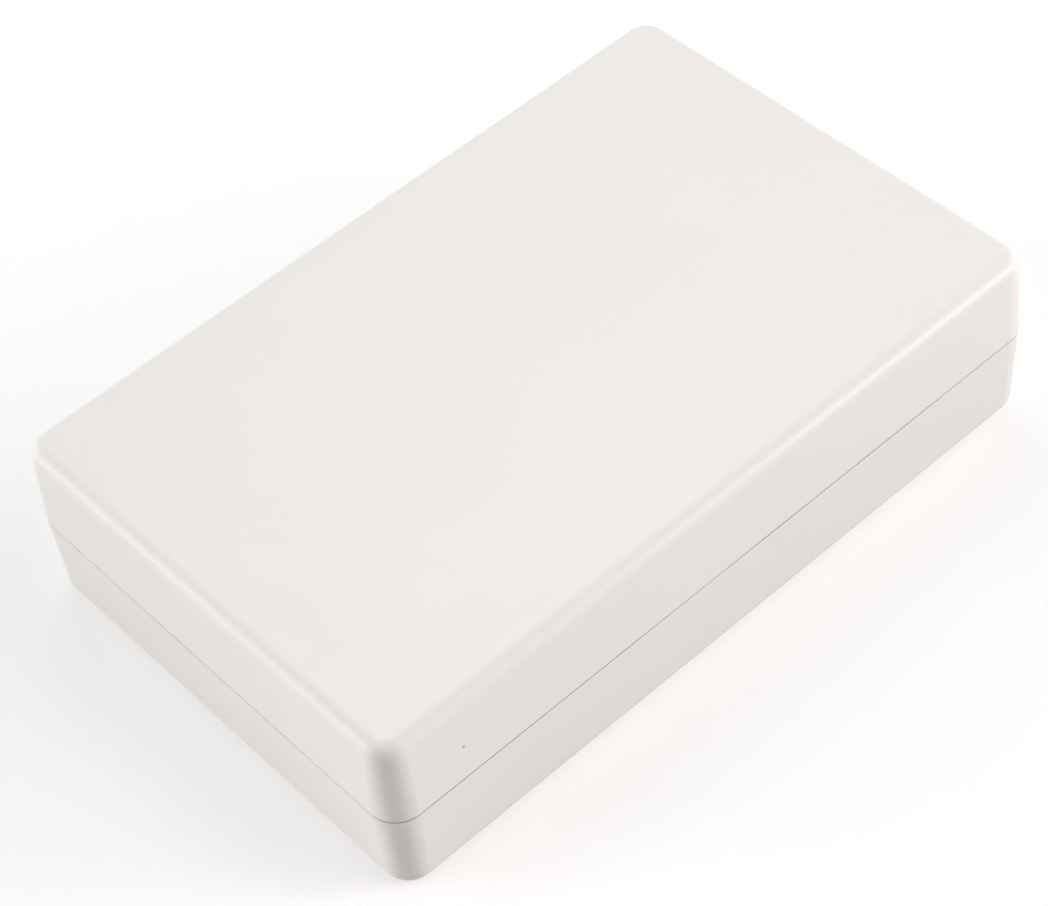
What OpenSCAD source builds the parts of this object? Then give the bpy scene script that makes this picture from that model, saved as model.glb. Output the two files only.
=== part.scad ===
// Two-part plastic project box: a lower shell and an upper shell that meet in a
// tongue and rebate, held by four screws driven from the underside.
// The origin is the centre of the underside. X runs along the length, Z is up.

/* [Case] */
// Length over the parting line
case_length = 190; // [160:1:260]
// Width over the parting line
case_width = 122; // [100:1:180]
// Corner radius in plan, at the parting line
corner_radius = 7; // [6:0.5:12]
// Thickness of the side walls
wall = 2.4; // [2:0.1:3]
// Thickness of the floor and the roof
panel = 2.5; // [2:0.1:3.5]

/* [Lower shell] */
// Height from the underside to its rim
base_height = 24; // [20:0.1:40]
// Draft of its side walls, in degrees
base_draft = 1.7; // [0.5:0.1:3]
// Radius of the edge round the underside
base_edge_radius = 3; // [2.6:0.1:5]

/* [Upper shell] */
// Height from its rim to the top
lid_height = 22.3; // [18:0.1:40]
// Draft of its side walls, in degrees
lid_draft = 3; // [0.5:0.1:4]
// Radius of the edge round the top
lid_edge_radius = 3.5; // [2.6:0.1:5]

/* [Rim joint] */
// Gap that shows between the two rims
reveal = 0.2; // [0.1:0.05:0.5]
// Small chamfer on each rim's outer edge
rim_break = 0.1; // [0.05:0.05:0.3]
// Width of the rim outside the tongue
rim_land = 1.2; // [1:0.05:1.4]
// Height of the tongue above the lower rim
tongue_height = 1.8; // [1.2:0.1:2.5]
// Chamfer that leads the tongue in
tongue_lead = 0.3; // [0.1:0.05:0.5]
// Clearance between the tongue and the sides of its rebate
tongue_clearance = 0.15; // [0.05:0.05:0.3]

/* [Locating tabs] */
// Width of each tab along the wall
tab_width = 8; // [4:0.5:12]
// Thickness of each tab
tab_thickness = 1.5; // [1:0.1:2]
// How far a tab hangs below the lower rim
tab_drop = 2.5; // [1.5:0.1:4]
// How far a tab runs up the wall above the tongue
tab_root = 7; // [4:0.5:10]
// Clearance between a tab and the tongue
tab_clearance = 0.25; // [0.2:0.05:0.5]
// Chamfer that leads each tab in
tab_lead = 0.6; // [0.3:0.1:0.9]
// Distance between the two tabs of a long wall
tab_spacing = 90; // [50:1:110]

/* [Case screws] */
// Distance of each screw from the outer faces at the parting line
screw_inset = 10.5; // [10:0.1:14]
// Length under the head
screw_length = 20; // [17:0.5:24]
// Diameter of the shank between its threads
screw_core = 2.4; // [2:0.1:2.6]
// Diameter of the head
screw_head = 5.6; // [5:0.1:6]
// Height of the head
screw_head_height = 2.1; // [1.6:0.1:2.6]
// Width of the cross recess in the head
recess_width = 0.9; // [0.6:0.1:1.2]
// Span of the cross recess
recess_span = 3.2; // [2.4:0.1:4]
// Depth of the cross recess
recess_depth = 1.3; // [0.8:0.1:1.5]

/* [Screw towers] */
// Depth from the lower rim to the shoulder that the screw head pulls on
shoulder_depth = 11; // [9:0.5:13]
// Diameter of the hole that the head drops into
counterbore = 6.6; // [6.4:0.1:7]
// Diameter of the hole that clears the thread
screw_clear = 3.4; // [3.1:0.1:3.8]
// Diameter of a tower at the lower rim
tower_diameter = 10; // [9.6:0.1:11]
// Diameter of a screw boss at its open end
boss_diameter = 7.6; // [6:0.1:9]
// Diameter of the pilot hole in a screw boss
screw_pilot = 2.5; // [2.5:0.1:2.9]
// Room beyond the screw's tip in that pilot hole
tip_room = 3; // [1:0.5:3.5]
// How far the screw bosses stop short of the upper rim
boss_setback = 0.1; // [0.05:0.05:0.3]
// Draft of towers, bosses and posts, in degrees
boss_draft = 0.8; // [0.5:0.1:1.5]
// Thickness of the ribs that tie them to the walls
rib_thickness = 1.6; // [1.2:0.1:2]
// How far the ribs stop short of the rim
rib_setback = 5; // [4:0.5:8]

/* [Board posts] */
// Distance of each post from the end faces at the parting line
post_inset_x = 25; // [22:1:40]
// Distance of each post from the side faces at the parting line
post_inset_y = 21; // [20:1:40]
// Height of a post above the floor, and below the roof
post_height = 5; // [4:0.5:8]
// Diameter of a post at its end
post_diameter = 6.4; // [6:0.1:8]
// Diameter of the pilot hole in a post
post_pilot = 2.5; // [2:0.1:3]
// Thickness left at the end of that pilot hole
post_skin = 1.6; // [1:0.1:2]

/* [Foot recesses] */
// Diameter of each round recess for a stick-on foot
foot_recess = 12.5; // [8:0.5:14]
// Depth of the recess
foot_recess_depth = 0.5; // [0.3:0.1:0.8]
// Distance of each recess from the end faces at the parting line
foot_inset_x = 28; // [26:1:40]
// Distance of each recess from the side faces at the parting line
foot_inset_y = 15; // [15:1:30]

/* [Hidden] */
$fn = 96;

shell_colour = [0.925, 0.918, 0.9];
screw_colour = [0.72, 0.73, 0.75];

// Places in height
rim_z = base_height + reveal;
top_z = rim_z + lid_height;
tongue_top = base_height + tongue_height;
shoulder_z = base_height - shoulder_depth;
boss_end_z = rim_z + boss_setback;
pilot_end_z = shoulder_z + screw_length + tip_room;
base_post_z = panel + post_height;
lid_post_z = top_z - panel - post_height;

// Centres of the corner radii, and of the patterns of four
corner_x = case_length / 2 - corner_radius;
corner_y = case_width / 2 - corner_radius;
screw_x = case_length / 2 - screw_inset;
screw_y = case_width / 2 - screw_inset;
post_x = case_length / 2 - post_inset_x;
post_y = case_width / 2 - post_inset_y;
foot_x = case_length / 2 - foot_inset_x;
foot_y = case_width / 2 - foot_inset_y;

// Cavities follow the outside at the wall's thickness, with at least this edge radius
least_edge_radius = 0.8;
inner_reach = corner_radius - wall;
overlap = 1; // how far a cutter runs past the face it opens
bite = 0.0005; // how far a wall's flat runs into the round that ends it, so the two join

function inner_edge(outer_edge) = max(outer_edge - wall, least_edge_radius);

// Half of a drafted block's section: x runs out from the corner centres to the
// reach at the rim, y from the rim at 0 to the closed end with its round edge.
module block_section(reach, height, draft, edge, chamfer) {
    edge_x = reach - edge * cos(draft) - (height - edge + edge * sin(draft)) * tan(draft);
    edge_y = height - edge;
    flat_edge = edge - bite;
    rim = chamfer > 0
        ? [[reach - chamfer, 0], [reach - chamfer * tan(draft), chamfer]]
        : [[reach, 0]];
    polygon([
        [0, 0],
        each rim,
        [edge_x + flat_edge * cos(draft), edge_y + flat_edge * sin(draft)],
        [edge_x, edge_y],
        [edge_x, height],
        [0, height]
    ]);
    translate([edge_x, edge_y])
        intersection() {
            circle(edge);
            translate([0, -edge]) square([edge, 2 * edge]);
        }
}

// Carries a section round the case: revolved at the corners, straight along the sides.
module carried_round() {
    centres = [[1, 1], [-1, 1], [-1, -1], [1, -1]];
    for (i = [0:3])
        translate([centres[i].x * corner_x, centres[i].y * corner_y, 0])
            rotate(90 * i)
                rotate_extrude(angle = 90) children();
    for (end = [0, 180])
        rotate(end) translate([corner_x, 0, 0]) rotate([90, 0, 0])
            linear_extrude(2 * corner_y, center = true) children();
    for (side = [90, 270])
        rotate(side) translate([corner_y, 0, 0]) rotate([90, 0, 0])
            linear_extrude(2 * corner_x, center = true) children();
}

// Solid block with the case's plan, drafted from its rim at z = 0 to its closed end.
module drafted_block(reach, height, draft, edge, chamfer) {
    carried_round() block_section(reach, height, draft, edge, chamfer);
    translate([-corner_x, -corner_y, 0])
        cube([2 * corner_x, 2 * corner_y, height]);
}

// The lower shell's blocks hang from its rim with the closed end down.
module hung_from_rim() {
    translate([0, 0, base_height]) rotate([180, 0, 0]) children();
}

// One child at each of the four places (+-x, +-y).
module at_four(x, y) {
    for (side_x = [-1, 1], side_y = [-1, 1])
        translate([side_x * x, side_y * y, 0]) children();
}

// A moulded post between two heights, thinner at its free end by the draft.
module post(diameter, free_z, root_z) {
    length = abs(root_z - free_z);
    root = diameter / 2 + length * tan(boss_draft);
    translate([0, 0, min(free_z, root_z)])
        cylinder(h = length,
                 r1 = free_z > root_z ? root : diameter / 2,
                 r2 = free_z > root_z ? diameter / 2 : root);
}

// Two ribs from each screw position out to the nearest end wall and side wall.
// They run on into the wall, which trims them.
module tie_ribs(low_z, high_z) {
    for (side_x = [-1, 1], side_y = [-1, 1]) {
        translate([side_x * (screw_x + screw_inset / 2), side_y * screw_y, (low_z + high_z) / 2])
            cube([screw_inset, rib_thickness, high_z - low_z], center = true);
        translate([side_x * screw_x, side_y * (screw_y + screw_inset / 2), (low_z + high_z) / 2])
            cube([rib_thickness, screw_inset, high_z - low_z], center = true);
    }
}

// Space inside the lower shell, less the towers, ribs and posts that stand in it.
module base_cavity() {
    difference() {
        hung_from_rim()
            drafted_block(inner_reach, base_height - panel, base_draft,
                          inner_edge(base_edge_radius), 0);
        at_four(screw_x, screw_y) post(tower_diameter, base_height, 0);
        tie_ribs(0, base_height - rib_setback);
        at_four(post_x, post_y) post(post_diameter, base_post_z, 0);
    }
}

// Tongue that stands on the inner half of the lower rim, with the cavity carried up through it.
module tongue() {
    reach = corner_radius - rim_land;
    translate([0, 0, base_height])
        carried_round()
            polygon([
                [inner_reach, -overlap],
                [reach, -overlap],
                [reach, tongue_height - tongue_lead],
                [reach - tongue_lead, tongue_height],
                [inner_reach, tongue_height]
            ]);
}

module lower_shell() {
    color(shell_colour)
        difference() {
            union() {
                hung_from_rim()
                    drafted_block(corner_radius, base_height, base_draft, base_edge_radius, rim_break);
                tongue();
            }
            base_cavity();
            at_four(screw_x, screw_y) {
                translate([0, 0, -overlap]) cylinder(h = shoulder_z + overlap, d = counterbore);
                translate([0, 0, shoulder_z - overlap])
                    cylinder(h = shoulder_depth + 2 * overlap, d = screw_clear);
            }
            at_four(post_x, post_y)
                translate([0, 0, post_skin])
                    cylinder(h = base_post_z - post_skin + overlap, d = post_pilot);
            at_four(foot_x, foot_y)
                translate([0, 0, -overlap])
                    cylinder(h = foot_recess_depth + overlap, d = foot_recess);
        }
}

// Space inside the upper shell, less the screw bosses, ribs, posts and tab roots.
module lid_cavity() {
    difference() {
        translate([0, 0, rim_z])
            drafted_block(inner_reach, lid_height - panel, lid_draft,
                          inner_edge(lid_edge_radius), 0);
        at_four(screw_x, screw_y) post(boss_diameter, boss_end_z, top_z);
        tie_ribs(rim_z + rib_setback, top_z);
        at_four(post_x, post_y) post(post_diameter, lid_post_z, top_z);
        at_tabs()
            translate([-tab_thickness, -tab_width / 2, tongue_top])
                cube([tab_thickness + wall, tab_width, tab_root]);
    }
}

// Puts its children at each tab: x = 0 is the tab's outer face and +x points at the wall.
module at_tabs() {
    face_x = case_length / 2 - wall - tab_clearance;
    face_y = case_width / 2 - wall - tab_clearance;
    for (end = [0, 180])
        rotate(end) translate([face_x, 0, 0]) children();
    for (side = [90, 270], along = [-1, 1])
        rotate(side) translate([face_y, along * tab_spacing / 2, 0]) children();
}

// A tab from its lower end up to the middle of its root, chamfered to lead it in.
module tab() {
    low_z = base_height - tab_drop;
    high_z = tongue_top + tab_root / 2;
    rotate([90, 0, 0])
        linear_extrude(tab_width, center = true)
            polygon([
                [-tab_thickness, low_z],
                [-tab_lead, low_z],
                [0, low_z + 2 * tab_lead],
                [0, high_z],
                [-tab_thickness, high_z]
            ]);
}

// Rebate in the upper rim, which takes the tongue.
module rebate() {
    inner = inner_reach - tongue_clearance;
    outer = corner_radius - rim_land + tongue_clearance;
    translate([0, 0, base_height - overlap])
        carried_round()
            translate([inner, 0]) square([outer - inner, tongue_height + overlap]);
}

module upper_shell() {
    color(shell_colour) {
        difference() {
            translate([0, 0, rim_z])
                drafted_block(corner_radius, lid_height, lid_draft, lid_edge_radius, rim_break);
            lid_cavity();
            rebate();
            at_four(screw_x, screw_y)
                translate([0, 0, boss_end_z - overlap])
                    cylinder(h = pilot_end_z - boss_end_z + overlap, d = screw_pilot);
            at_four(post_x, post_y)
                translate([0, 0, lid_post_z - overlap])
                    cylinder(h = top_z - post_skin - lid_post_z + overlap, d = post_pilot);
        }
        at_tabs() tab();
    }
}

// One self-tapping screw with its head's bearing face at z = 0 and its shank up.
module case_screw() {
    crown = 0.45 * screw_head_height; // rounded part of the pan head
    tip = screw_core;                 // length of the pointed tip
    difference() {
        rotate_extrude()
            polygon([
                [0, -screw_head_height],
                [screw_head / 2 - crown, -screw_head_height],
                [screw_head / 2 - 0.3 * crown, -screw_head_height + 0.35 * crown],
                [screw_head / 2, -screw_head_height + crown],
                [screw_head / 2, 0],
                [screw_core / 2, 0],
                [screw_core / 2, screw_length - tip],
                [0, screw_length]
            ]);
        for (turn = [0, 90])
            rotate(turn)
                translate([0, 0, -screw_head_height])
                    cube([recess_span, recess_width, 2 * recess_depth], center = true);
    }
}

module case_screws() {
    color(screw_colour)
        at_four(screw_x, screw_y)
            translate([0, 0, shoulder_z]) case_screw();
}

lower_shell();
upper_shell();
case_screws();
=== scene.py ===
"""A plastic project box: an off-white lower and upper shell in satin moulded plastic, with four
plated case screws under it. Metres; the origin is the centre of the underside and Z is up."""

import math

import bpy
from mathutils import Matrix, Vector


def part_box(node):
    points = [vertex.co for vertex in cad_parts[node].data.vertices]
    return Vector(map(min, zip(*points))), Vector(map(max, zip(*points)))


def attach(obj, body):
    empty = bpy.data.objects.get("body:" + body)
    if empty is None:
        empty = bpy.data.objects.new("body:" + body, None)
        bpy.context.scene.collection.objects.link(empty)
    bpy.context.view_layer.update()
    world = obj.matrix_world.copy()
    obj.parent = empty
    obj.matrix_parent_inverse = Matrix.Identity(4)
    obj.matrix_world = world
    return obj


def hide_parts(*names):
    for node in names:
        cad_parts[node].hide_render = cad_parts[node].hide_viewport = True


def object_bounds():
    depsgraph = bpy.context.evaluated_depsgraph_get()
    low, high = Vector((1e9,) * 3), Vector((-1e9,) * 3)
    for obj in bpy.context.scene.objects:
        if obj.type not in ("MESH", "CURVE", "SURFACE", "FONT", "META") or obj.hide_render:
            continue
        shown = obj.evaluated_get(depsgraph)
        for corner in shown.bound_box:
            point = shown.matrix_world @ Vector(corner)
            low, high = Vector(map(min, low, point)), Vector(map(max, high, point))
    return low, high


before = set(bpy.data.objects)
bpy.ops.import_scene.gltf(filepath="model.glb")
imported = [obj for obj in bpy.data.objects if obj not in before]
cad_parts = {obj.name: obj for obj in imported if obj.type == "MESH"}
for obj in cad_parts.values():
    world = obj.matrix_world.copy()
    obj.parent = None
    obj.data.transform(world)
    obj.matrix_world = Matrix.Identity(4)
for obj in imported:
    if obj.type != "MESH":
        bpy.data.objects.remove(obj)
cad_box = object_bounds()

MM = 0.001

# Places taken from the frame
case_low, case_high = cad_box
screws_low, screws_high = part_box("case_screws")
case_middle = (case_low + case_high) / 2


# ---------------------------------------------------------------- node trees

class Graph:
    """A shader or geometry node tree under construction."""

    def __init__(self, tree):
        self.tree = tree
        tree.nodes.clear()

    def node(self, kind, settings=None, sockets=None):
        """Adds a node: its settings first, then the values or links of its sockets."""
        made = self.tree.nodes.new(kind)
        for key, value in (settings or {}).items():
            setattr(made, key, value)
        for key, value in (sockets or {}).items():
            self.feed(find_socket(made.inputs, key), value)
        return made

    def feed(self, socket, value):
        if isinstance(value, Value):
            value = value.socket
        if isinstance(value, bpy.types.NodeSocket):
            self.tree.links.new(value, socket)
        else:
            socket.default_value = value

    def value(self, kind, settings=None, sockets=None, output=0):
        """The same, but gives the node's output as a value that takes part in arithmetic."""
        return Value(self, find_socket(self.node(kind, settings, sockets).outputs, output))

    def noise(self, place, size, detail=2.0, roughness=0.5):
        """Fractal noise from 0 to 1 whose features measure about size metres."""
        return self.value("ShaderNodeTexNoise", None, {
            "Vector": place, "Scale": 1 / size, "Detail": detail, "Roughness": roughness,
        }, "Fac")

    def mix_colour(self, factor, first, second):
        return self.value("ShaderNodeMix", {"data_type": "RGBA"}, {
            "Factor_Float": factor, "A_Color": first, "B_Color": second,
        }, "Result_Color")

    def distance(self, first, second):
        return self.value("ShaderNodeVectorMath", {"operation": "DISTANCE"},
                          {0: first, 1: second}, "Value")

    def dot(self, first, second):
        return self.value("ShaderNodeVectorMath", {"operation": "DOT_PRODUCT"},
                          {0: first, 1: second}, "Value")

    def scaled_sum(self, vector, factor, other):
        """vector times factor, plus other."""
        scaled = self.value("ShaderNodeVectorMath", {"operation": "SCALE"},
                            {0: vector, "Scale": factor}, "Vector")
        return self.value("ShaderNodeVectorMath", {"operation": "ADD"},
                          {0: scaled, 1: other}, "Vector")


class Value:
    """A socket's value: an operator on it adds a Math node."""

    def __init__(self, graph, socket):
        self.graph = graph
        self.socket = socket

    def math(self, operation, *others):
        return self.graph.value("ShaderNodeMath", {"operation": operation},
                                {0: self, **{i + 1: other for i, other in enumerate(others)}})

    def reflected(self, operation, first):
        return self.graph.value("ShaderNodeMath", {"operation": operation}, {0: first, 1: self})

    def __add__(self, other): return self.math("ADD", other)
    def __radd__(self, other): return self.math("ADD", other)
    def __sub__(self, other): return self.math("SUBTRACT", other)
    def __rsub__(self, other): return self.reflected("SUBTRACT", other)
    def __mul__(self, other): return self.math("MULTIPLY", other)
    def __rmul__(self, other): return self.math("MULTIPLY", other)
    def __truediv__(self, other): return self.math("DIVIDE", other)
    def __rtruediv__(self, other): return self.reflected("DIVIDE", other)

    def step_up(self, low, high):
        """0 below low, 1 above high, smooth between."""
        return self.graph.value("ShaderNodeMapRange", {"interpolation_type": "SMOOTHSTEP"}, {
            "Value": self, "From Min": low, "From Max": high,
        }, "Result")


def find_socket(sockets, key):
    if isinstance(key, int):
        return sockets[key]
    for socket in sockets:
        if key == socket.identifier or (key == socket.name and socket.enabled):
            return socket
    raise KeyError(key)


def new_material(name):
    material = bpy.data.materials.new(name)
    material.use_nodes = True
    graph = Graph(material.node_tree)
    output = graph.node("ShaderNodeOutputMaterial")
    return material, graph, output


# ---------------------------------------------------------------- finishes

SHELL_COLOUR = (0.864, 0.845, 0.818, 1)
SHELL_SHADE = (0.844, 0.823, 0.793, 1)
SPECK_COLOUR = (0.10, 0.095, 0.09, 1)
SHELL_ROUGHNESS = 0.36

# How far the clouds and the flecks shift the colour and the gloss
CLOUD_TINT = 0.9
FLECK_TINT = 0.35
HANDLING_GLOSS = 0.10
FLECK_GLOSS = 0.05

# Sizes of the patterns on the plastic
CLOUD_SIZE = 45 * MM
FLECK_SIZE = 1.5 * MM
HANDLING_SIZE = 18 * MM
GRAIN_SIZE = 0.35 * MM
GRAIN_DEPTH = 0.008 * MM
WAVE_SIZE = 30 * MM
WAVE_DEPTH = 0.020 * MM

# Painted shade in the seam between the shells, a dark brownish grey: its colour, the seam's height
# and the reach from its centre
SEAM_PAINTED_SHADE = (0.16, 0.135, 0.10, 1)
SEAM_HEIGHT = 24.1 * MM
SEAM_SHADE_FULL = 0.12 * MM
SEAM_SHADE_END = 0.20 * MM
SEAM_SHADE_AMOUNT = 0.75
SEAM_SHADE_PATCHINESS = 1.8

# The screws' zinc plate: its two tones, its blotches and its turning marks
ZINC_BRIGHT = (0.66, 0.68, 0.70, 1)
ZINC_DULL = (0.52, 0.52, 0.50, 1)
ZINC_ROUGHNESS = 0.24
BLOTCH_ROUGHNESS = 0.16
BLOTCH_SIZE = 1.8 * MM
MARK_SIZE = 0.12 * MM
MARK_DEPTH = 0.006 * MM

# Specks of dirt on the front wall: place, radius and how dark they are. A speck is solid out to
# its core and gone past its edge, both as shares of its radius, and flecks make it ragged.
SPECK_CORE = 0.4
SPECK_EDGE = 1.3
SPECK_RAGGEDNESS = 0.3
SPECKS = (
    (Vector((-74.8, -60.5, 33.4)) * MM, 0.35 * MM, 0.80),
    (Vector((71.3, -60.9, 26.9)) * MM, 0.25 * MM, 0.45),
    (Vector((-89.9, -60.5, 6.0)) * MM, 0.25 * MM, 0.50),
)


def moulded_plastic(name):
    """Satin off-white plastic with the fine grain of a spark-eroded mould, and painted shade along
    the seam.
    """
    material, graph, output = new_material(name)
    place = graph.value("ShaderNodeTexCoord", output="Object")

    clouds = graph.noise(place, CLOUD_SIZE, detail=3)
    flecks = graph.noise(place, FLECK_SIZE, detail=2)
    shade = (clouds - 0.5) * CLOUD_TINT + (flecks - 0.5) * FLECK_TINT + 0.5
    colour = graph.mix_colour(shade, SHELL_COLOUR, SHELL_SHADE)

    # Painted shade: a thin band round the seam between the shells is darkened, patchy with the
    # clouds
    height = graph.value("ShaderNodeSeparateXYZ", None, {"Vector": place}, "Z")
    from_seam = (height - SEAM_HEIGHT).math("ABSOLUTE")
    seam = 1 - from_seam.step_up(SEAM_SHADE_FULL, SEAM_SHADE_END)
    seam_shade_strength = SEAM_SHADE_AMOUNT + (clouds - 0.5) * SEAM_SHADE_PATCHINESS
    colour = graph.mix_colour(seam * seam_shade_strength, colour, SEAM_PAINTED_SHADE)
    for centre, radius, strength in SPECKS:
        ragged = (flecks - 0.5) * radius * SPECK_RAGGEDNESS
        from_centre = graph.distance(place, centre) + ragged
        outside = from_centre.step_up(radius * SPECK_CORE, radius * SPECK_EDGE)
        dirt = (1 - outside) * strength
        colour = graph.mix_colour(dirt, colour, SPECK_COLOUR)

    handling = graph.noise(place, HANDLING_SIZE, detail=4, roughness=0.6)
    roughness = (SHELL_ROUGHNESS + (handling - 0.5) * HANDLING_GLOSS
                 + (flecks - 0.5) * FLECK_GLOSS)

    grain = graph.noise(place, GRAIN_SIZE, detail=2, roughness=0.6)
    waves = graph.noise(place, WAVE_SIZE, detail=1)
    relief = grain * (GRAIN_DEPTH / MM) + waves * (WAVE_DEPTH / MM)
    bump = graph.value("ShaderNodeBump", None,
                       {"Height": relief, "Strength": 1.0, "Distance": MM}, "Normal")

    surface = graph.node("ShaderNodeBsdfPrincipled", None, {
        "Base Color": colour,
        "Roughness": roughness,
        "IOR": 1.5,
        "Normal": bump,
    })
    graph.feed(output.inputs["Surface"], surface.outputs["BSDF"])
    return material


def plated_steel(name):
    """Zinc plate: bright, slightly blue, with soft blotches and fine turning marks."""
    material, graph, output = new_material(name)
    place = graph.value("ShaderNodeTexCoord", output="Object")
    blotches = graph.noise(place, BLOTCH_SIZE, detail=3)
    marks = graph.noise(place, MARK_SIZE, detail=2, roughness=0.6)
    colour = graph.mix_colour(blotches, ZINC_BRIGHT, ZINC_DULL)
    bump = graph.value("ShaderNodeBump", None,
                       {"Height": marks, "Strength": 1.0, "Distance": MARK_DEPTH}, "Normal")
    surface = graph.node("ShaderNodeBsdfPrincipled", None, {
        "Base Color": colour,
        "Metallic": 1.0,
        "Roughness": ZINC_ROUGHNESS + blotches * BLOTCH_ROUGHNESS,
        "Normal": bump,
    })
    graph.feed(output.inputs["Surface"], surface.outputs["BSDF"])
    return material


# The floor: how pale it is, how much light of its own the camera sees in it, and its half width
FLOOR_PALENESS = 0.68
FLOOR_LIFT = 0.40
FLOOR_REACH = 3.0


def pale_floor(name):
    """Pale table: it shows white to the camera and keeps the soft shadow of the case."""
    material, graph, output = new_material(name)
    diffuse = graph.node("ShaderNodeBsdfDiffuse", None, {
        "Color": (FLOOR_PALENESS, FLOOR_PALENESS, FLOOR_PALENESS, 1),
    })
    lift = graph.node("ShaderNodeEmission", None, {
        "Color": (1, 1, 1, 1), "Strength": FLOOR_LIFT,
    })
    rays = graph.node("ShaderNodeLightPath")
    lifted = graph.node("ShaderNodeAddShader", None,
                        {0: diffuse.outputs[0], 1: lift.outputs[0]})
    seen = graph.node("ShaderNodeMixShader", None, {
        0: rays.outputs["Is Camera Ray"], 1: diffuse.outputs[0], 2: lifted.outputs[0],
    })
    graph.feed(output.inputs["Surface"], seen.outputs[0])
    return material


# ---------------------------------------------------------------- case screws

HEAD_RADIUS = 2.8 * MM
HEAD_HEIGHT = 2.1 * MM

# A recess arm loses this share of its length by its full depth
RECESS_TAPER = 0.45

# Along the thread, as shares of it: where the ridge has grown to its full size, where it starts to
# fade towards the tip, and how much it fades
THREAD_GROWN = 0.04
THREAD_FADES = 0.88
THREAD_FADE = 0.75


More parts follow.
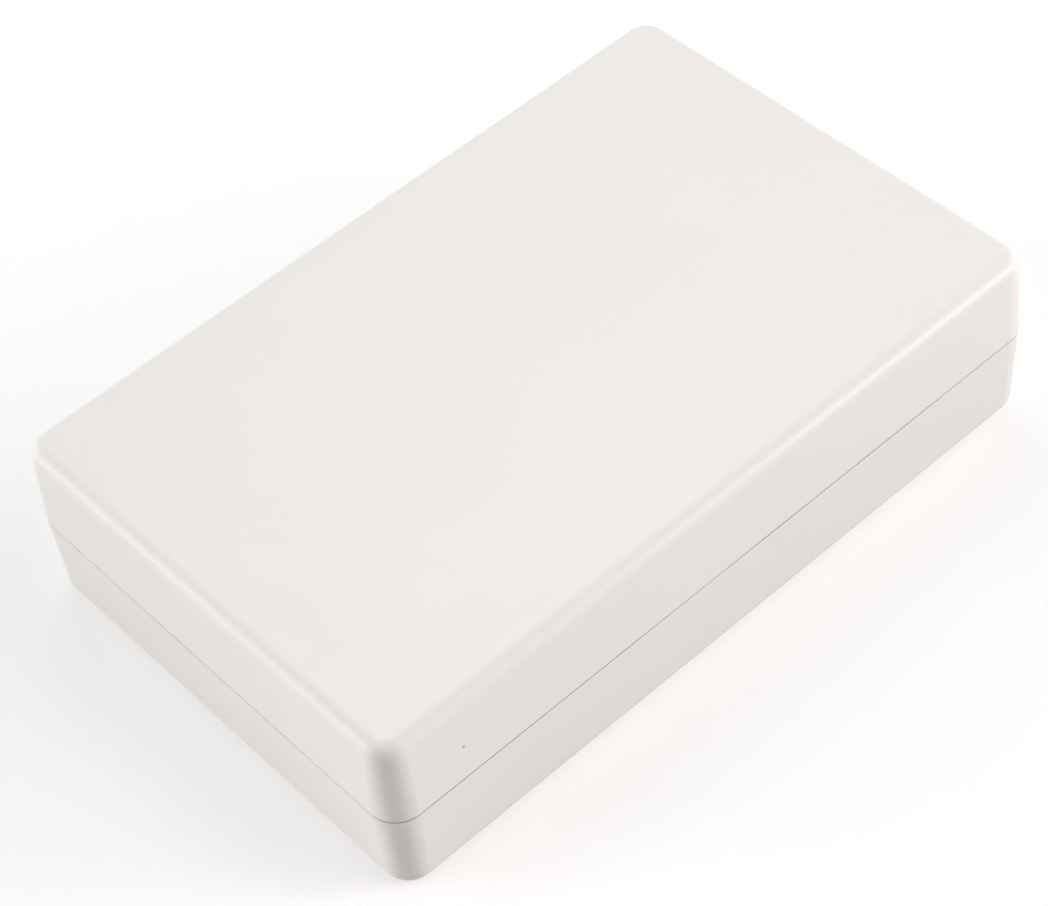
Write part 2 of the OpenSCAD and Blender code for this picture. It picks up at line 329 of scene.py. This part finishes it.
def case_screw_tree(finish):
    """Geometry nodes that turn four points into four self-tapping screws, head down."""
    tree = bpy.data.node_groups.new("case_screw_maker", "GeometryNodeTree")
    sizes = {
        "Core radius": 1.2 * MM,
        "Thread radius": 1.5 * MM,
        "Pitch": 1.15 * MM,
        "Length": 20 * MM,
        "Tip": 2.4 * MM,
        "Head radius": HEAD_RADIUS,
        "Head height": HEAD_HEIGHT,
        "Recess span": 3.2 * MM,
        "Recess width": 0.9 * MM,
        "Recess depth": 1.3 * MM,
    }
    tree.interface.new_socket("Geometry", in_out="INPUT", socket_type="NodeSocketGeometry")
    for size_name, size in sizes.items():
        socket = tree.interface.new_socket(size_name, in_out="INPUT", socket_type="NodeSocketFloat")
        socket.default_value = size
    tree.interface.new_socket("Geometry", in_out="OUTPUT", socket_type="NodeSocketGeometry")
    graph = Graph(tree)
    given = graph.node("NodeGroupInput")
    size = {name: Value(graph, given.outputs[name]) for name in sizes}

    def turned_body(height_and_radius, turns=48):
        """A closed body of revolution: rings at the given heights and radii."""
        rings = len(height_and_radius)
        sheet = graph.node("GeometryNodeMeshGrid", None, {
            "Size X": 1.0, "Size Y": 1.0, "Vertices X": turns + 1, "Vertices Y": rings,
        })
        where = graph.node("ShaderNodeSeparateXYZ", None, {
            0: graph.node("GeometryNodeInputPosition").outputs[0],
        })
        angle = (Value(graph, where.outputs[0]) + 0.5) * math.tau
        ring = ((Value(graph, where.outputs[1]) + 0.5) * (rings - 1)).math("ROUND")
        height, radius = 0.0, 0.0
        for index, (ring_height, ring_radius) in enumerate(height_and_radius):
            here = ring.math("COMPARE", float(index), 0.1)
            height = here * ring_height + height
            radius = here * ring_radius + radius
        across = graph.node("ShaderNodeCombineXYZ", None, {
            0: radius * angle.math("COSINE"), 1: radius * angle.math("SINE"), 2: height,
        })
        turned = graph.node("GeometryNodeSetPosition", None, {
            "Geometry": sheet.outputs["Mesh"], "Position": across.outputs[0],
        })
        return graph.node("GeometryNodeMergeByDistance", None, {
            "Geometry": turned.outputs[0], "Distance": 1e-6,
        }).outputs[0]

    crown = size["Head height"]
    head_and_core = turned_body([
        (crown * -1.0, crown * 0.0),
        (crown * -1.0, size["Head radius"] - crown * 0.62),
        (crown * -0.97, size["Head radius"] - crown * 0.40),
        (crown * -0.86, size["Head radius"] - crown * 0.19),
        (crown * -0.68, size["Head radius"] - crown * 0.05),
        (crown * -0.48, size["Head radius"]),
        (crown * -0.04, size["Head radius"]),
        (crown * 0.0, size["Head radius"] - crown * 0.04),
        (crown * 0.0, size["Core radius"]),
        (size["Length"] - size["Tip"], size["Core radius"]),
        (size["Length"], crown * 0.0),
    ])
    outward = graph.node("GeometryNodeFlipFaces", None, {0: head_and_core})

    def recess_arm(turn):
        arm = graph.node("GeometryNodeMeshCube", None, {
            "Size": graph.node("ShaderNodeCombineXYZ", None, {
                0: size["Recess span"], 1: size["Recess width"], 2: size["Recess depth"] * 2,
            }).outputs[0],
        })
        place = graph.node("ShaderNodeSeparateXYZ", None, {
            0: graph.node("GeometryNodeInputPosition").outputs[0],
        })
        # The arm narrows towards its deep end, as the driver's tip does
        depth = (Value(graph, place.outputs[2]) / size["Recess depth"]).math("MAXIMUM", 0.0)
        taper = 1 - depth * RECESS_TAPER
        narrowed = graph.node("GeometryNodeSetPosition", None, {
            "Geometry": arm.outputs[0],
            "Position": graph.node("ShaderNodeCombineXYZ", None, {
                0: Value(graph, place.outputs[0]) * taper,
                1: Value(graph, place.outputs[1]),
                2: Value(graph, place.outputs[2]) - size["Head height"],
            }).outputs[0],
        })
        return graph.node("GeometryNodeTransform", None, {
            "Geometry": narrowed.outputs[0], "Rotation": (0, 0, turn),
        }).outputs[0]

    driven = graph.node("GeometryNodeMeshBoolean", {"operation": "DIFFERENCE", "solver": "EXACT"}, {
        "Mesh 1": outward.outputs[0],
    })
    for turn in (0, math.pi / 2):
        graph.tree.links.new(recess_arm(turn), driven.inputs["Mesh 2"])

    # The thread: a pointed ridge carried along a helix that closes in on the tip
    thread_length = size["Length"] - size["Tip"] * 0.5 - size["Pitch"]
    helix = graph.node("GeometryNodeCurveSpiral", None, {
        "Resolution": 32,
        "Rotations": thread_length / size["Pitch"],
        "Start Radius": size["Core radius"],
        "End Radius": size["Core radius"],
        "Height": thread_length,
    })
    along = graph.value("GeometryNodeSplineParameter", output="Factor")
    grown = along.step_up(0.0, THREAD_GROWN)
    faded = along.step_up(THREAD_FADES, 1.0) * THREAD_FADE
    ends = grown * (1 - faded)
    to_tip = 1 - ((along * thread_length + size["Pitch"] - size["Length"] + size["Tip"])
                  / size["Tip"]).math("MAXIMUM", 0.0)
    where = graph.node("ShaderNodeSeparateXYZ", None, {
        0: graph.node("GeometryNodeInputPosition").outputs[0],
    })
    drawn_in = graph.node("GeometryNodeSetPosition", None, {
        "Geometry": helix.outputs[0],
        "Position": graph.node("ShaderNodeCombineXYZ", None, {
            0: Value(graph, where.outputs[0]) * to_tip,
            1: Value(graph, where.outputs[1]) * to_tip,
            2: Value(graph, where.outputs[2]) + size["Pitch"] * 0.5,
        }).outputs[0],
    })
    upright = graph.node("GeometryNodeSetCurveNormal", {"mode": "Z_UP"}, {0: drawn_in.outputs[0]})
    sized = graph.node("GeometryNodeSetCurveRadius", None, {
        "Curve": upright.outputs[0], "Radius": ends,
    })
    ridge_height = size["Thread radius"] - size["Core radius"]
    ridge = graph.node("GeometryNodeCurvePrimitiveCircle", {"mode": "RADIUS"}, {
        "Resolution": 3, "Radius": ridge_height,
    })
    crest_outward = graph.node("GeometryNodeTransform", None, {
        "Geometry": ridge.outputs[0], "Rotation": (0, 0, math.pi),
    })
    swept = graph.node("GeometryNodeCurveToMesh", None, {
        "Curve": sized.outputs[0], "Profile Curve": crest_outward.outputs[0], "Fill Caps": True,
    })

    screw = graph.node("GeometryNodeJoinGeometry")
    for body in (driven.outputs["Mesh"], swept.outputs[0]):
        tree.links.new(body, screw.inputs[0])
    placed = graph.node("GeometryNodeInstanceOnPoints", None, {
        "Points": given.outputs["Geometry"], "Instance": screw.outputs[0],
    })
    real = graph.node("GeometryNodeRealizeInstances", None, {0: placed.outputs[0]})
    plated = graph.node("GeometryNodeSetMaterial", None, {
        "Geometry": real.outputs[0], "Material": finish,
    })
    result = graph.node("NodeGroupOutput")
    tree.links.new(plated.outputs[0], result.inputs[0])
    return tree, sizes


def make_case_screws(finish):
    """Four threaded screws in place of the plain ones, seated on the same shoulders."""
    seat_x = screws_high.x - HEAD_RADIUS
    seat_y = screws_high.y - HEAD_RADIUS
    seat_z = screws_low.z + HEAD_HEIGHT
    seats = bpy.data.meshes.new("screw_seats")
    places = [(x, y, seat_z) for x in (-seat_x, seat_x) for y in (-seat_y, seat_y)]
    seats.from_pydata(places, [], [])
    maker = bpy.data.objects.new("screw_seats", seats)
    bpy.context.scene.collection.objects.link(maker)
    tree, sizes = case_screw_tree(finish)
    modifier = maker.modifiers.new("screws", "NODES")
    modifier.node_group = tree
    for item in tree.interface.items_tree:
        if item.in_out == "INPUT" and item.name in sizes:
            modifier[item.identifier] = sizes[item.name]
    evaluated = maker.evaluated_get(bpy.context.evaluated_depsgraph_get())
    mesh = bpy.data.meshes.new_from_object(evaluated)
    mesh.name = "threaded_case_screws"
    mesh.shade_smooth()
    mesh.set_sharp_from_angle(angle=math.radians(32))
    bpy.data.objects.remove(maker)
    screws = bpy.data.objects.new("threaded_case_screws", mesh)
    bpy.context.scene.collection.objects.link(screws)
    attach(screws, "root")
    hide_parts("case_screws")


# ---------------------------------------------------------------- stage, lights and camera

def dress_shells():
    plastic = moulded_plastic("off_white_moulding")
    for name in ("lower_shell", "upper_shell"):
        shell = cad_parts[name]
        shell.data.materials.clear()
        shell.data.materials.append(plastic)


def lay_floor():
    mesh = bpy.data.meshes.new("floor")
    signs = ((-1, -1), (1, -1), (1, 1), (-1, 1))
    corners = [(x * FLOOR_REACH, y * FLOOR_REACH, 0) for x, y in signs]
    mesh.from_pydata(corners, [], [(0, 1, 2, 3)])
    mesh.materials.append(pale_floor("pale_table"))
    floor = bpy.data.objects.new("floor", mesh)
    bpy.context.scene.collection.objects.link(floor)


def compass(azimuth, elevation):
    """A direction from the case: azimuth 0 is along -Y and 90 along +X, in degrees."""
    around, up = math.radians(azimuth), math.radians(elevation)
    return Vector((math.sin(around) * math.cos(up), -math.cos(around) * math.cos(up), math.sin(up)))


def softbox(name, azimuth, elevation, distance, width, height, radiance, colour=(1, 1, 1)):
    """A rectangular diffused lamp that faces the case; radiance 1 is that of the white studio."""
    light = bpy.data.lights.new(name, "AREA")
    light.shape = "RECTANGLE"
    light.size, light.size_y = width, height
    light.energy = radiance * math.pi * width * height
    light.color = colour
    lamp = bpy.data.objects.new(name, light)
    lamp.location = case_middle + distance * compass(azimuth, elevation)
    lamp.rotation_euler = (case_middle - lamp.location).to_track_quat("-Z", "Y").to_euler()
    bpy.context.scene.collection.objects.link(lamp)


def hang_lights():
    softbox("right_box", azimuth=40, elevation=20, distance=0.8,
            width=0.3, height=0.3, radiance=6.0)
    softbox("top_box", azimuth=142, elevation=60, distance=1.2,
            width=0.6, height=0.6, radiance=2.7, colour=(0.94, 1.05, 1.07))


# Broad soft light round the case: azimuth, elevation, how narrow it is, radiance and colour
SOFT_LIGHTS = (
    (60, 5, 8, 2.25, (1.06, 0.98, 0.97)),
    (45, 35, 8, 2.5, (1.05, 0.99, 0.97)),
    (-128, 5, 8, 5.4, (1.02, 0.99, 0.99)),
    (-145, 5, 8, 2.6, (1.02, 0.99, 0.99)),
)


def white_surroundings():
    """A studio that looks white and lights the case softly from the right and the back left."""
    world = bpy.data.worlds.new("studio")
    bpy.context.scene.world = world
    world.use_nodes = True
    graph = Graph(world.node_tree)
    output = graph.node("ShaderNodeOutputWorld")
    rays = graph.node("ShaderNodeLightPath")
    seen = Value(graph, rays.outputs["Is Camera Ray"])
    for ray in ("Is Glossy Ray", "Is Transmission Ray"):
        seen = seen.math("MAXIMUM", Value(graph, rays.outputs[ray]))
    direction = graph.value("ShaderNodeTexCoord", output="Generated")
    light = (0, 0, 0)
    for azimuth, elevation, narrowness, radiance, colour in SOFT_LIGHTS:
        facing = graph.dot(direction, compass(azimuth, elevation)).math("MAXIMUM", 0.0)
        strength = facing.math("POWER", float(narrowness)) * radiance
        light = graph.scaled_sum(colour, strength, light)
    fill = graph.node("ShaderNodeBackground", None, {"Color": light, "Strength": 1.0})
    white = graph.node("ShaderNodeBackground", None, {"Color": (1, 1, 1, 1), "Strength": 1.0})
    both = graph.node("ShaderNodeMixShader", None, {
        0: seen, 1: fill.outputs[0], 2: white.outputs[0],
    })
    graph.feed(output.inputs["Surface"], both.outputs[0])


CAMERA_EYE = Vector((-0.2559, -0.3275, 0.4846))
CAMERA_AIM = Vector((-0.0298, -0.0164, 0.0241))
CAMERA_ROLL = math.radians(8.07)
CAMERA_LENS = 95.9
CAMERA_SHIFT = (0.0359, 0.0744)


def place_camera():
    camera_data = bpy.data.cameras.new("camera")
    camera_data.lens = CAMERA_LENS
    camera_data.clip_start = 0.01
    camera_data.shift_x, camera_data.shift_y = CAMERA_SHIFT
    camera = bpy.data.objects.new("camera", camera_data)
    forward = (CAMERA_AIM - CAMERA_EYE).normalized()
    level_right = forward.cross(Vector((0, 0, 1))).normalized()
    level_up = level_right.cross(forward)
    up = level_up * math.cos(CAMERA_ROLL) + level_right * math.sin(CAMERA_ROLL)
    turn = Matrix((forward.cross(up), up, -forward)).transposed().to_4x4()
    camera.matrix_world = Matrix.Translation(CAMERA_EYE) @ turn
    bpy.context.scene.collection.objects.link(camera)
    bpy.context.scene.camera = camera


bpy.context.scene.view_settings.view_transform = "Standard"
place_camera()
dress_shells()
make_case_screws(plated_steel("zinc_plate"))
lay_floor()
hang_lights()
white_surroundings()
